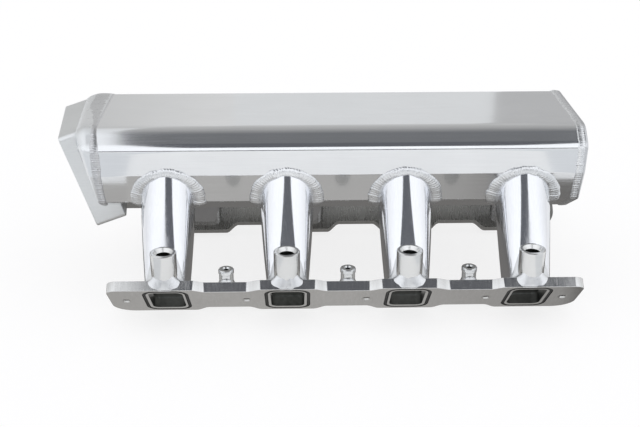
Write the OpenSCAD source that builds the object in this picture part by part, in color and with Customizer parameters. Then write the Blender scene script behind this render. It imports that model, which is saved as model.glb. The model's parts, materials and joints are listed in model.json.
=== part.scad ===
// Welded sheet-metal intake manifold for a four-stroke V8 with two banks of four cylinders.
// X runs along the engine with the throttle at -X, Y runs across the valley and Z is up.
// The origin is at the bottom centre, level with the lowest edge of the two head flanges.

/* [Cylinder heads] */
// Distance between neighbouring ports of one bank
bore_spacing = 111.76; // [90:0.01:130]
// Shift along the engine between the two banks
bank_offset = 18; // [0:0.5:30]
// Distance from the valley's mid-plane to the centre of a port, on the mating face
port_reach = 110.4; // [95:0.1:150]
// Angle of the mating faces from level
face_angle = 45; // [35:1:50]

/* [Ports] */
// Width of a port, along the engine
port_w = 31; // [24:0.5:40]
// Height of a port, along the mating face
port_h = 46; // [34:0.5:58]
// Corner radius of a port
port_r = 6; // [2:0.5:10]

/* [Head flanges] */
// Thickness of a head flange
flange_t = 9.5; // [6:0.5:16]
// Flange left above a port
pad_above = 7.5; // [6.5:0.5:16]
// Flange left below a port
pad_below = 9; // [6.5:0.5:16]
// From the port's centre to the upper edge, between ports
web_up = 25; // [16:0.5:30]
// From the port's centre to the lower edge, between ports
web_down = 23; // [16:0.5:30]
// How far the widened edge runs past each side of a port
pad_beside = 8.5; // [6:0.5:14]
// Length of the curve between the widened and the narrow edge
pad_blend = 13.6; // [6:0.1:18]
// From the middle of the bank to the flange's end on the throttle side
flange_lead = 220.5; // [190:0.5:270]
// From the middle of the bank to the flange's other end
flange_tail = 216; // [190:0.5:270]
// Radius of the flange's upper corners
upper_corner_r = 9; // [3:0.5:14]
// Radius of the flange's lower corners
lower_corner_r = 20; // [6:0.5:26]
// Diameter of the head bolt holes
bolt_d = 7; // [5:0.1:9]
// Distance from each port to the bolt hole beside it
bolt_lead = 38; // [34:0.5:46]
// Distance from the last port to the last bolt hole
bolt_tail = 34; // [32:0.5:44]

/* [Port seals] */
// Land between the port and its seal groove
seal_land = 2.4; // [1.5:0.1:4]
// Width of the seal groove
groove_w = 3.2; // [2:0.1:5]
// Depth of the seal groove
groove_depth = 2.6; // [1.5:0.1:4]
// Gap between the seal and each side of its groove
seal_gap = 0.15; // [0.05:0.05:0.4]

/* [Plenum] */
// Length of the plenum's sheets, without the end plates
plenum_len = 449.5; // [380:0.5:560]
// From the middle of the engine to the plenum's throttle end
plenum_lead = 241; // [210:0.5:290]
// Height of the plenum's flat top
plenum_top = 173; // [150:0.5:220]
// Half the width of the flat top
top_half = 54.5; // [40:0.5:65]
// Half the width at the upper bend, the widest line
ridge_half = 72; // [64:0.5:90]
// Height of the upper bend, below the flat top
ridge_drop = 14.5; // [6:0.5:24]
// Half the width at the middle bend
side_half = 69; // [60:0.5:88]
// Height of the middle bend, below the flat top
side_drop = 42; // [34:0.5:56]
// Half the width at the seam between the upper sheet and the floor
seam_half = 57; // [46:0.5:66]
// Height of the seam, below the flat top
seam_drop = 73.5; // [62:0.5:84]
// Half the width of the flat bottom
bottom_half = 18; // [8:0.5:30]
// Depth of the plenum, from its top to its bottom
plenum_depth = 96.5; // [86:0.5:120]
// Thickness of the plenum's sheets
sheet_t = 3.2; // [2:0.1:5]
// Outer radius of the bends beside the flat top
top_bend_r = 20; // [5:0.5:24]
// Outer radius of the upper bends
ridge_bend_r = 10; // [5:0.5:14]
// Outer radius of the sheets' other bends
bend_r = 5; // [3.6:0.1:8]
// Thickness of the rear end cap
cap_t = 5; // [3:0.5:10]
// How far the rear end cap stands proud of the sheets, all round
cap_proud = 0.8; // [0.2:0.1:3]

/* [Throttle end] */
// Height of the throttle flange, along its face
throttle_h = 96; // [84:0.5:120]
// Width of the throttle flange
throttle_w = 100; // [88:0.5:130]
// Thickness of the throttle flange
throttle_t = 30; // [18:0.5:40]
// Diameter of the throttle bore
throttle_bore = 85; // [60:0.5:92]
// Diameter of the circle of throttle bolts
throttle_pcd = 110; // [100:0.5:124]
// Tapping diameter of the throttle bolt holes
throttle_tap_d = 5; // [4:0.1:8]
// Depth of the throttle bolt holes
throttle_tap_depth = 18; // [8:0.5:20]
// How far the throttle's axis points down
throttle_tilt = 17.5; // [0:0.5:20]
// How far the throttle's axis turns towards the front bank
throttle_yaw = 7; // [0:0.5:12]
// From the plenum's sheets to the middle of the throttle face
throttle_out = 27.6; // [24:0.1:40]
// Height of the middle of the throttle face, below the flat top
throttle_drop = 57; // [52:0.5:70]
// Corner radius of the throttle flange
throttle_r = 4; // [2:0.5:10]
// Thickness of the front end plate, level with the throttle's middle
end_plate_t = 13.8; // [12:0.1:20]
// Lean of the front end plate's outer face
end_plate_lean = 12.5; // [0:0.5:16]
// How far the front end plate stands proud of the sheets, all round
end_plate_proud = 1.6; // [0.2:0.1:3]
// How much wider than the throttle bore the hole in the end plate is, on each side
end_plate_gap = 1; // [0.5:0.1:3]

/* [Runners] */
// Outer diameter of a runner where it meets the plenum
runner_d = 52; // [43:0.5:63]
// Wall of a runner
runner_wall = 3.2; // [2:0.1:4]
// Distance from the valley's mid-plane to the point that a runner aims at, inside the plenum
aim_half = 47.5; // [40:0.5:54]
// Depth of that point below the plenum's flat top
aim_drop = 53.8; // [48:0.1:62]

/* [Injector bungs] */
// Outer diameter of an injector bung
bung_d = 24; // [20:0.5:28]
// Bore of an injector bung's pocket
bung_bore = 14; // [10:0.1:16]
// Depth of an injector bung's pocket
bung_pocket = 14; // [8:0.5:16]
// Diameter of the spray hole below the pocket
bung_spray_d = 11; // [6:0.1:13]
// Distance of a bung's axis inwards from the port's upper edge
bung_in = 8.7; // [5:0.1:12]
// Height of a bung's mouth above the port's upper edge
bung_rise = 37.6; // [30:0.1:46]
// Chamfer round the mouth of a bung
bung_chamfer = 1; // [0.2:0.1:2]

/* [Rail posts] */
// Diameter of a rail post at its top
post_d = 14.2; // [12:0.1:20]
// Diameter of a rail post at its waist
post_waist_d = 13.2; // [10:0.1:15]
// Diameter of a rail post at its foot
post_foot_d = 15.6; // [14:0.1:22]
// Height of the post's foot above the flange
post_foot_h = 3; // [2:0.1:8]
// Height of the taper from the foot to the waist
post_taper_h = 3; // [1:0.1:6]
// Chamfer round the top of a post
post_chamfer = 1; // [0.2:0.1:2]
// Height of the post's upper collar
post_collar = 4; // [3:0.5:8]
// Distance of a post's axis inwards from the flange's upper edge
post_in = 15.1; // [12:0.1:20]
// Height of a post's top above the flange's upper edge
post_rise = 16.2; // [15:0.1:30]
// Tapping diameter of a rail post
post_tap_d = 5; // [4:0.1:8]
// Depth of a post's tapped hole
post_tap_depth = 12; // [6:0.5:14]

/* [Hidden] */

$fn = 64;
ports_per_bank = 4;
bend_steps = 6;
blend_steps = 8;
corner_steps = 12;
loft_sides = 48;
far = 1000;
beyond = far / 4;
collar = 1;
mouth_start = 0.5;
mouth_end = 1.1;

port_x = [for (i = [0:ports_per_bank - 1]) (i - (ports_per_bank - 1) / 2) * bore_spacing];
post_x = [for (i = [0:ports_per_bank - 2]) (port_x[i] + port_x[i + 1]) / 2];
bolt_x = concat([for (x = port_x) x - bolt_lead], [port_x[ports_per_bank - 1] + bolt_tail]);

pad_up = port_h / 2 + pad_above;
pad_down = port_h / 2 + pad_below;
pad_half = port_w / 2 + pad_beside;

// The lowest edge of the flanges lies at z = 0.
port_z = pad_down * sin(face_angle);
bung_reach = port_reach + port_h / 2 * cos(face_angle) - bung_in;
bung_top = port_z + port_h / 2 * sin(face_angle) + bung_rise;
post_reach = port_reach + web_up * cos(face_angle) - post_in;
post_top = port_z + web_up * sin(face_angle) + post_rise;

// The plenum's cross-section as [y, z], counter-clockwise from its bottom right corner.
half_section = [
    [bottom_half, plenum_top - plenum_depth],
    [seam_half, plenum_top - seam_drop],
    [side_half, plenum_top - side_drop],
    [ridge_half, plenum_top - ridge_drop],
    [top_half, plenum_top]
];
half_bends = [bend_r, bend_r, bend_r, ridge_bend_r, top_bend_r];
corners = len(half_section);
section = concat(half_section, [for (i = [corners - 1:-1:0]) [-half_section[i].x, half_section[i].y]]);
section_bends = concat(half_bends, [for (i = [corners - 1:-1:0]) half_bends[i]]);
seam_z = plenum_top - seam_drop;
plenum_x0 = -plenum_lead;
plenum_x1 = plenum_x0 + plenum_len;

throttle_centre = [plenum_x0 - throttle_out, 0, plenum_top - throttle_drop];

// A runner's axis as [y, z], from the flange's inner face to the point that it aims at.
runner_foot = [-port_reach + flange_t * sin(face_angle), port_z + flange_t * cos(face_angle)];
runner_aim = [-aim_half, plenum_top - aim_drop];
runner_len = norm(runner_aim - runner_foot);
runner_lean = atan2(runner_aim.x - runner_foot.x, runner_aim.y - runner_foot.y);

// The box is centred on x = 0: the throttle face's highest corner is one end, a flange the other.
throttle_reach = (throttle_h / 2 - throttle_r) * sin(throttle_tilt) * cos(throttle_yaw)
    + (throttle_w / 2 - throttle_r) * sin(throttle_yaw)
    + throttle_r * norm([sin(throttle_tilt) * cos(throttle_yaw), sin(throttle_yaw)]);
box_x0 = throttle_centre.x - throttle_reach;
box_x1 = max(flange_lead, flange_tail) + bank_offset / 2;
centre_x = (box_x0 + box_x1) / 2;

function unit(v) = v / norm(v);
function left_of(a, b) = let (d = unit(b - a)) [-d.y, d.x];

// Corners of a counter-clockwise outline, moved inwards by inset and with its inset radii.
function rounded(pts, radii, steps, inset = 0) = [
    for (i = [0:len(pts) - 1])
        let (
            n1 = left_of(pts[(i + len(pts) - 1) % len(pts)], pts[i]),
            n2 = left_of(pts[i], pts[(i + 1) % len(pts)]),
            r = radii[i] - inset,
            centre = pts[i] + (n1 + n2) / (1 + n1 * n2) * (r + inset),
            turn = acos(min(1, n1 * n2)),
            start = atan2(-n1.y, -n1.x)
        )
        for (k = [0:steps]) centre + r * [cos(start + turn * k / steps), sin(start + turn * k / steps)]
];

function even(r) = [r, r, r, r];
function box_corners(w, h) = [[-w / 2, -h / 2], [w / 2, -h / 2], [w / 2, h / 2], [-w / 2, h / 2]];

// An arc of radius r about the point c, from angle a0 to a1.
function corner_arc(c, r, a0, a1) = [
    for (k = [0:corner_steps])
        let (a = a0 + (a1 - a0) * k / corner_steps)
        c + r * [cos(a), sin(a)]
];

// A flange edge from the throttle end to the tail end: wide at each port, narrow between ports.
function smooth_step(t) = (1 - cos(180 * t)) / 2;
function scalloped(web, pad) = [
    for (i = [0:ports_per_bank - 2])
        for (side = [0, 1])
            for (k = [0:blend_steps])
                let (
                    t = k / blend_steps,
                    x = side == 0 ? port_x[i] + pad_half + pad_blend * t
                        : port_x[i + 1] - pad_half - pad_blend * (1 - t),
                    rise = side == 0 ? 1 - smooth_step(t) : smooth_step(t)
                )
                [x, web + (pad - web) * rise]
];

// The flange's outline on the mating face: x along the engine, y up the face, counter-clockwise.
upper_edge = scalloped(web_up, pad_up);
flange_outline = concat(
    corner_arc([-flange_lead + lower_corner_r, -pad_down + lower_corner_r], lower_corner_r, 180, 270),
    scalloped(-web_down, -pad_down),
    corner_arc([flange_tail - lower_corner_r, -pad_down + lower_corner_r], lower_corner_r, 270, 360),
    corner_arc([flange_tail - upper_corner_r, pad_up - upper_corner_r], upper_corner_r, 0, 90),
    [for (i = [len(upper_edge) - 1:-1:0]) upper_edge[i]],
    corner_arc([-flange_lead + upper_corner_r, pad_up - upper_corner_r], upper_corner_r, 90, 180)
);

// Puts a child of bank 0 (-Y) or bank 1 (+Y) in place: bank 1 is bank 0 turned half a turn.
module on_bank(bank) {
    translate([-centre_x, 0, 0]) rotate([0, 0, bank * 180]) translate([-bank_offset / 2, 0, 0]) children();
}

module on_engine() {
    translate([-centre_x, 0, 0]) children();
}

// x along the engine, y up the mating face, z out of it towards the cylinder head.
module on_face() {
    translate([0, -port_reach, port_z]) rotate([180 - face_angle, 0, 0]) children();
}

// x up the throttle face, y across it, z out of it towards the throttle body.
module on_throttle() {
    translate(throttle_centre) rotate([0, 0, throttle_yaw]) rotate([0, -90 - throttle_tilt, 0]) children();
}

// z along the runner's axis, away from the flange.
module on_runner(x) {
    translate([x, runner_foot.x, runner_foot.y]) rotate([-runner_lean, 0, 0]) children();
}

// A bar of the plenum's cross-section between two stations along X.
module section_bar(x0, x1, inset = 0) {
    translate([x0, 0, 0]) rotate([90, 0, 90]) linear_extrude(x1 - x0)
        polygon(rounded(section, section_bends, bend_steps, inset));
}

module throttle_block() {
    on_throttle() translate([0, 0, -throttle_t]) linear_extrude(throttle_t)
        polygon(rounded(box_corners(throttle_h, throttle_w), even(throttle_r), bend_steps));
}

// The air's way from the throttle into the plenum.
module throttle_way(gap = 0) {
    way_len = 2 * throttle_t;
    on_throttle() translate([0, 0, -way_len]) cylinder(d = throttle_bore + 2 * gap, h = way_len + 1);
}

// The round ends of all the runners' passages, through the plenum's sheets.
module runner_mouths() {
    for (bank = [0, 1])
        rotate([0, 0, bank * 180]) translate([-bank_offset / 2, 0, 0])
            for (x = port_x) on_runner(x) translate([0, 0, runner_len * mouth_start])
                cylinder(d = runner_d - 2 * runner_wall, h = runner_len * (mouth_end - mouth_start));
}

module plenum_shell() {
    difference() {
        section_bar(plenum_x0, plenum_x1);
        section_bar(plenum_x0 - 1, plenum_x1 + 1, sheet_t);
        throttle_block();
        runner_mouths();
    }
}

module plenum_upper() {
    color("#d4d6d8") on_engine() intersection() {
        plenum_shell();
        translate([-far / 2, -far / 2, seam_z]) cube([far, far, far]);
    }
}

module plenum_floor() {
    color("#a9aaa6") on_engine() intersection() {
        plenum_shell();
        translate([-far / 2, -far / 2, seam_z - far]) cube([far, far, far]);
    }
}

// A wedge: its inner face is square to the plenum and its outer face leans with the throttle.
module front_end_plate() {
    color("#cdd0d2") on_engine() difference() {
        section_bar(plenum_x0 - beyond, plenum_x0, -end_plate_proud);
        translate([plenum_x0 - end_plate_t, 0, throttle_centre.z]) rotate([0, 0, throttle_yaw])
            rotate([0, -end_plate_lean, 0]) translate([-far, -far / 2, -far / 2]) cube([far, far, far]);
        throttle_block();
        throttle_way(end_plate_gap);
    }
}

module rear_end_cap() {
    color("#c6c7c8") on_engine() section_bar(plenum_x1, plenum_x1 + cap_t, -cap_proud);
}

module throttle_flange() {
    color("#dcdfe0") on_engine() difference() {
        throttle_block();
        throttle_way();
        on_throttle() for (a = [45:90:315]) rotate([0, 0, a])
            translate([throttle_pcd / 2, 0, -throttle_tap_depth])
                cylinder(d = throttle_tap_d, h = throttle_tap_depth + 1);
    }
}

module port_outline(grow) {
    polygon(rounded(box_corners(port_w + 2 * grow, port_h + 2 * grow), even(port_r + grow), corner_steps));
}

module head_flange() {
    difference() {
        translate([0, 0, -flange_t]) linear_extrude(flange_t) polygon(flange_outline);
        for (x = port_x) translate([x, 0, 0]) {
            translate([0, 0, -flange_t - 1]) linear_extrude(flange_t + 2) port_outline(0);
            translate([0, 0, -groove_depth]) linear_extrude(groove_depth + 1) difference() {
                port_outline(seal_land + groove_w);
                port_outline(seal_land);
            }
        }
        for (x = bolt_x) translate([x, 0, -flange_t - 1]) cylinder(d = bolt_d, h = flange_t + 2);
    }
}

// The seals are drawn at the height that they have when the manifold is bolted down.
module port_seals() {
    for (x = port_x) translate([x, 0, -groove_depth]) linear_extrude(groove_depth) difference() {
        port_outline(seal_land + groove_w - seal_gap);
        port_outline(seal_land + seal_gap);
    }
}

// The lofted body of a runner, grown from its passage by a wall. It may run on past the flange's
// inner face and past the point that it aims at.
module runner_body(wall, past_face) {
    hull() {
        on_face() translate([0, 0, -flange_t - collar]) linear_extrude(collar + past_face)
            port_outline(wall);
        on_runner(0) translate([0, 0, runner_len])
            cylinder(d = runner_d - 2 * runner_wall + 2 * wall, h = collar + past_face, $fn = loft_sides);
    }
}

module injector_bore() {
    translate([0, -bung_reach, port_z]) cylinder(d = bung_spray_d, h = bung_top);
    translate([0, -bung_reach, bung_top - bung_pocket]) cylinder(d = bung_bore, h = bung_pocket + 1);
}

module runner(x) {
    difference() {
        translate([x, 0, 0]) runner_body(runner_wall, 0);
        translate([bank_offset / 2, 0, 0]) section_bar(plenum_x0 - beyond, plenum_x1 + beyond);
        translate([x, 0, 0]) runner_body(0, 1);
        translate([x, 0, 0]) injector_bore();
    }
}

module injector_bung(x) {
    translate([x, 0, 0]) difference() {
        translate([0, -bung_reach, 0]) rotate_extrude() polygon([
            [0, port_z],
            [bung_d / 2, port_z],
            [bung_d / 2, bung_top - bung_chamfer],
            [bung_d / 2 - bung_chamfer, bung_top],
            [0, bung_top]
        ]);
        on_face() translate([-far / 2, -far / 2, -flange_t]) cube([far, far, far]);
        runner_body(runner_wall, 1);
        injector_bore();
    }
}

module rail_post(x) {
    waist_z = post_top - post_collar - (post_d - post_waist_d) / 2;
    flange_z = port_z + (post_reach - port_reach) * tan(face_angle) + flange_t / cos(face_angle);
    foot_z = flange_z + post_foot_h;
    start_z = flange_z - post_foot_d;
    difference() {
        translate([x, -post_reach, 0]) rotate_extrude() polygon([
            [0, start_z],
            [post_foot_d / 2, start_z],
            [post_foot_d / 2, foot_z],
            [post_waist_d / 2, foot_z + post_taper_h],
            [post_waist_d / 2, waist_z],
            [post_d / 2, post_top - post_collar],
            [post_d / 2, post_top - post_chamfer],
            [post_d / 2 - post_chamfer, post_top],
            [0, post_top]
        ]);
        on_face() translate([-far / 2, -far / 2, -flange_t]) cube([far, far, far]);
        translate([x, -post_reach, post_top - post_tap_depth])
            cylinder(d = post_tap_d, h = post_tap_depth + 1);
    }
}

plenum_upper();
plenum_floor();
front_end_plate();
rear_end_cap();
throttle_flange();
for (bank = [0, 1]) {
    side = bank == 0 ? "front" : "rear";
    color("#b9bbbd") on_bank(bank) on_face() head_flange();
    color("#2a2a28") on_bank(bank) on_face() port_seals();
    for (i = [0:ports_per_bank - 1]) {
        number = bank * ports_per_bank + i + 1;
        color("#e2e4e8") on_bank(bank) runner(port_x[i]);
        color("#c9cac8") on_bank(bank) injector_bung(port_x[i]);
    }
    for (i = [0:ports_per_bank - 2]) {
        number = bank * (ports_per_bank - 1) + i + 1;
        color("#bfc1c2") on_bank(bank) rail_post(post_x[i]);
    }
}
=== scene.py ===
"""Looks of a welded sheet-aluminium intake manifold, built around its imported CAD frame.

Lengths below are in millimetres and are turned into metres when a mesh is made. X runs along
the engine with the throttle at -X, Y runs across the valley and Z is up.
"""

import json
import math

import bpy
import numpy as np
from mathutils import Matrix, Vector
from mathutils.bvhtree import BVHTree


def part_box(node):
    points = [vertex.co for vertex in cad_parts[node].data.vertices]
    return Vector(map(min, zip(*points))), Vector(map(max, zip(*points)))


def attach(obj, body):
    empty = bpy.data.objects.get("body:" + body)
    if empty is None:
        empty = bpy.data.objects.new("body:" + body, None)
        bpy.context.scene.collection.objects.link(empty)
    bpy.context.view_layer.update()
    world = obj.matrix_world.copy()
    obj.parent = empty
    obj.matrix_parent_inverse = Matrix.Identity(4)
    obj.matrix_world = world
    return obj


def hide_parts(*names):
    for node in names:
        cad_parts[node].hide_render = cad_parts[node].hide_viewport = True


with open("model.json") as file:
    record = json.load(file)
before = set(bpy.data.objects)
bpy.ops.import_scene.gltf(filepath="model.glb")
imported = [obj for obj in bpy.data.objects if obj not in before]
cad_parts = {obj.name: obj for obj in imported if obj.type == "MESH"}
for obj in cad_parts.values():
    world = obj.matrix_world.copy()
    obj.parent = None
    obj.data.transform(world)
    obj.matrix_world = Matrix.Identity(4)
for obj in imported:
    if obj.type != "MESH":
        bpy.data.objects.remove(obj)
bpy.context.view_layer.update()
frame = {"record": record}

MM = 0.001
SEED = 11
FLAT_ACROSS = 1.6      # a face wider than this is flat, a narrower one is part of a curve

# ---- driving dimensions, mm
PORT_W, PORT_H, PORT_R, PORT_CHAMFER = 31.0, 46.0, 6.0, 0.5
FLANGE_T = 9.5
PAD_UP, PAD_DOWN = 30.5, 32.0
WEB_UP, WEB_DOWN = 25.0, 23.0
PAD_HALF, PAD_BLEND = 24.0, 13.6
FLANGE_LEAD, FLANGE_TAIL = 220.5, 216.0
UPPER_CORNER_R, LOWER_CORNER_R = 9.0, 20.0
FLANGE_EDGE = 0.3
BOLT_D, BOLT_CHAMFER = 7.0, 1.4
SEAL_LAND, GROOVE_W, GROOVE_DEPTH, SEAL_GAP = 2.4, 3.2, 2.6, 0.15

TOP_HALF, RIDGE_HALF, RIDGE_DROP = 54.5, 72.0, 14.5
SIDE_HALF, SIDE_DROP = 69.0, 42.0
SEAM_HALF, SEAM_DROP = 57.0, 73.5
BOTTOM_HALF, PLENUM_DEPTH = 18.0, 96.5
SHEET_T = 3.2
BOTTOM_BEND, SEAM_BEND, SIDE_BEND, RIDGE_BEND, TOP_BEND = 5.0, 5.0, 5.0, 10.0, 20.0
CAP_T, CAP_PROUD, CAP_EASE = 5.0, 0.6, 2.2

THROTTLE_H, THROTTLE_W, THROTTLE_T, THROTTLE_R = 96.0, 100.0, 30.0, 4.0
THROTTLE_BORE, THROTTLE_TAP_D, THROTTLE_TAP_DEPTH = 85.0, 5.0, 18.0
THROTTLE_EDGE = 1.2
END_PLATE_T, END_PLATE_LEAN, THROTTLE_YAW = 13.8, 12.5, 7.0
END_RIM_R, END_RIM_SHARE, END_PROUD = 20.0, 0.6, 0.5      # the rim's radius, at most this share of the wedge

RUNNER_D, RUNNER_WALL = 52.0, 3.2
RUNNER_LEG, RUNNER_FLANK, RIPPLE_PITCH = 5.0, 4.5, 2.3
MOUTH_REACH = 1.1      # how far the cut for a runner's mouth goes, in runner lengths
SEAM_CLEAR, SEAM_SHORTEST = 31.0, 6.0
AIM_HALF, AIM_DROP = 47.5, 53.8

BUNG_D, BUNG_BORE, BUNG_POCKET, BUNG_SPRAY_D, BUNG_CHAMFER = 24.0, 14.0, 14.0, 11.0, 1.0
BUNG_LEAD, BUNG_LEAD_DEPTH = 2.0, 3.6
POST_D, POST_WAIST_D, POST_FOOT_D, POST_COLLAR = 14.2, 13.2, 15.6, 4.0
POST_FOOT_H, POST_TAPER_H, POST_CHAMFER = 3.0, 3.0, 1.0
POST_TAP_D, POST_TAP_DEPTH, POST_LEAD, DRILL_POINT = 5.0, 12.0, 1.2, 1.4
FOOT_SUNK = 0.6        # how far a turned part's foot goes into what it stands on

# ---- places, from the frame
MOUNT = {m["name"]: m for m in frame["record"]["mounts"]}


def place(name):
    return Vector(MOUNT[name]["pos_m"]) / MM


def node_box(name):
    low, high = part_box(name)
    return low / MM, high / MM


injector = [place(f"injector_pocket_{i}") for i in range(1, 9)]
bank_mid = [sum(p.x for p in injector[b * 4:b * 4 + 4]) / 4 for b in (0, 1)]
port_x = [p.x - bank_mid[0] for p in injector[:4]]
post_x = [place(f"rail_screw_{i}").x - bank_mid[0] for i in (1, 2, 3)]
bolt_spacing = MOUNT["head_bolts_front_1"]["dims"]["pcd_mm"]
bolt_x = [place("head_bolts_front_1").x - bank_mid[0] + bolt_spacing * (k - 0.5) for k in range(4)]
bolt_x.append(place("head_bolt_front_end").x - bank_mid[0])

port_y, port_z = place("head_face_front").y, place("head_face_front").z
bung_y = injector[0].y
bung_top = injector[0].z + BUNG_POCKET / 2
post_y = place("rail_screw_1").y
post_top = place("rail_screw_1").z + POST_TAP_DEPTH / 2

upper_low, upper_high = node_box("plenum_upper")
plenum_x1 = node_box("rear_end_cap")[0].x
plenum_x0 = upper_low.x
plenum_top = upper_high.z

face_axis = Vector(MOUNT["head_face_front"]["axis"])
face_angle = math.atan2(-face_axis.y, -face_axis.z)
throttle_axis = Vector(MOUNT["throttle_bore"]["axis"]).normalized()


def bank_matrix(bank):
    """From a bank's own frame, with x from the middle of the bank, to the row frame."""
    return Matrix.Translation((bank_mid[bank], 0, 0)) @ Matrix.Rotation(bank * math.pi, 4, "Z")


post_rise_over_port = (port_y - post_y) * math.tan(face_angle) + FLANGE_T / math.cos(face_angle)

# x along the bank, y up the mating face, z out of it towards the cylinder head
on_face = Matrix.Translation((0, port_y, port_z)) @ Matrix.Rotation(math.pi - face_angle, 4, "X")


# ---- outlines
def rounded(points, radii, steps, inset=0.0):
    """Corners of a counter-clockwise outline, moved inwards by inset and rounded."""
    out = []
    n = len(points)
    for i, radius in enumerate(radii if isinstance(radii, list) else [radii] * n):
        before, here, after = (np.array(points[(i + k) % n], float) for k in (-1, 0, 1))
        u1, u2 = ((q - p) / np.linalg.norm(q - p) for p, q in ((before, here), (here, after)))
        n1, n2 = np.array([-u1[1], u1[0]]), np.array([-u2[1], u2[0]])
        centre = here + (n1 + n2) / (1 + n1 @ n2) * (radius + inset)
        turn = math.acos(max(-1.0, min(1.0, n1 @ n2)))
        start = math.atan2(-n1[1], -n1[0])
        for k in range(steps + 1):
            a = start + turn * k / steps
            out.append(centre + radius * np.array([math.cos(a), math.sin(a)]))
    return np.array(out)


def box_corners(w, h):
    return [(-w / 2, -h / 2), (w / 2, -h / 2), (w / 2, h / 2), (-w / 2, h / 2)]


half = [(BOTTOM_HALF, -PLENUM_DEPTH), (SEAM_HALF, -SEAM_DROP), (SIDE_HALF, -SIDE_DROP),
        (RIDGE_HALF, -RIDGE_DROP), (TOP_HALF, 0.0)]
section = [(y, z + plenum_top) for y, z in half] + [(-y, z + plenum_top) for y, z in reversed(half)]
seam_z = plenum_top - SEAM_DROP
SECTION_STEPS = 16
bends = [BOTTOM_BEND, SEAM_BEND, SIDE_BEND, RIDGE_BEND, TOP_BEND]
bends += bends[::-1]


def section_ring(inset=0.0):
    return rounded(section, [r - inset for r in bends], SECTION_STEPS, inset)


section_line = section_ring()
line_next = np.roll(section_line, -1, axis=0)
line_dir = (line_next - section_line) / np.linalg.norm(line_next - section_line, axis=1, keepdims=True)
line_out = np.column_stack([line_dir[:, 1], -line_dir[:, 0]])
section_normals = line_out + np.roll(line_out, 1, axis=0)
section_normals /= np.linalg.norm(section_normals, axis=1, keepdims=True)


def section_depth(y, z):
    """Signed distance of points to the plenum's outside, negative inside, and the outward normals."""
    p = np.column_stack([np.ravel(y), np.ravel(z)])
    d = np.einsum("pij,ij->pi", p[:, None, :] - section_line[None], line_out)
    side = d.argmax(axis=1)
    return d.max(axis=1), line_out[side]


# ---- mesh helpers
def piece(name, verts, faces, material, matrix=None, sharp=30.0, flat=False):
    """A mesh object from points in mm."""
    mesh = bpy.data.meshes.new(name)
    mesh.from_pydata([tuple(v) for v in verts], [], [tuple(f) for f in faces])
    mesh.transform(Matrix.Scale(MM, 4) @ (matrix or Matrix.Identity(4)))
    mesh.validate()
    obj = bpy.data.objects.new(name, mesh)
    bpy.context.scene.collection.objects.link(obj)
    obj.data.materials.append(material)
    finish_normals(obj, sharp, flat)
    return obj


def flatten(mesh):
    """Shades the wide faces flat, with the slivers that lie in the same planes."""
    def plane(face):
        spot = face.normal.dot(face.center) / MM
        return tuple(round(v, 2) for v in face.normal) + (round(spot, 1),)

    planes = set()
    for face in mesh.polygons:
        spots = [mesh.vertices[v].co for v in face.vertices]
        rim = sum((a - b).length for a, b in zip(spots, spots[1:] + spots[:1]))
        if 2 * face.area > FLAT_ACROSS * MM * rim:
            planes.add(plane(face))
    for face in mesh.polygons:
        face.use_smooth = plane(face) not in planes


def finish_normals(obj, sharp=30.0, flat=False):
    """Merges doubles, turns the faces outwards and shades them smooth up to the sharp angle."""
    bpy.ops.object.select_all(action="DESELECT")
    obj.select_set(True)
    bpy.context.view_layer.objects.active = obj
    bpy.ops.object.mode_set(mode="EDIT")
    bpy.ops.mesh.select_all(action="SELECT")
    bpy.ops.mesh.remove_doubles(threshold=2e-6)
    bpy.ops.mesh.normals_make_consistent(inside=False)
    bpy.ops.object.mode_set(mode="OBJECT")
    obj.data.shade_smooth()
    obj.data.set_sharp_from_angle(angle=math.radians(sharp))
    if flat:
        flatten(obj.data)


def apply_modifiers(obj):
    graph = bpy.context.evaluated_depsgraph_get()
    mesh = bpy.data.meshes.new_from_object(obj.evaluated_get(graph))
    obj.modifiers.clear()
    obj.data = mesh


def cut(obj, *cutters, sharp=30.0, flat=True):
    """Cuts the cutters out of obj and removes them."""
    for tool in cutters:
        modifier = obj.modifiers.new("cut", "BOOLEAN")
        modifier.object = tool
        modifier.operation = "DIFFERENCE"
        modifier.solver = "EXACT"
        apply_modifiers(obj)
        bpy.data.objects.remove(tool)
        finish_normals(obj, sharp, flat)
    return obj


def stack(name, levels, material, matrix=None, hollow=False):
    """A solid through outlines at their heights, closed by end faces or, when hollow, on itself."""
    n = len(levels[0][0])
    verts = [(p[0], p[1], z) for line, z in levels for p in line]
    faces = tube_faces(len(levels), n, closed_path=True) if hollow else capped_faces(len(levels), n)
    return piece(name, verts, faces, material, matrix, flat=True)


def inset(outline, distance):
    """A counter-clockwise outline moved inwards."""
    line = np.array(outline)
    step = np.roll(line, -1, axis=0) - line
    step /= np.linalg.norm(step, axis=1, keepdims=True)
    after = np.column_stack([-step[:, 1], step[:, 0]])
    before = np.roll(after, 1, axis=0)
    return line + (before + after) / (1 + np.einsum("ij,ij->i", before, after))[:, None] * distance


def prism(name, outline, z0, z1, material, matrix=None, bevel=0.0, steps=3):
    """An outline extruded from z0 to z1 with its rims rounded."""
    if not bevel:
        return stack(name, [(outline, z0), (outline, z1)], material, matrix)
    turns = [math.pi / 2 * k / steps for k in range(steps + 1)]
    lower = [(inset(outline, bevel * (1 - math.sin(a))), z0 + bevel * (1 - math.cos(a))) for a in turns]
    upper = [(line, z1 + z0 - z) for line, z in reversed(lower)]
    return stack(name, lower + upper, material, matrix)


def tube_faces(rings, sides, closed_path=False):
    """Quads between rings of points, numbered ring by ring."""
    faces = []
    for r in range(rings if closed_path else rings - 1):
        q = (r + 1) % rings
        for k in range(sides):
            m = (k + 1) % sides
            faces.append((r * sides + k, r * sides + m, q * sides + m, q * sides + k))
    return faces


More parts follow.
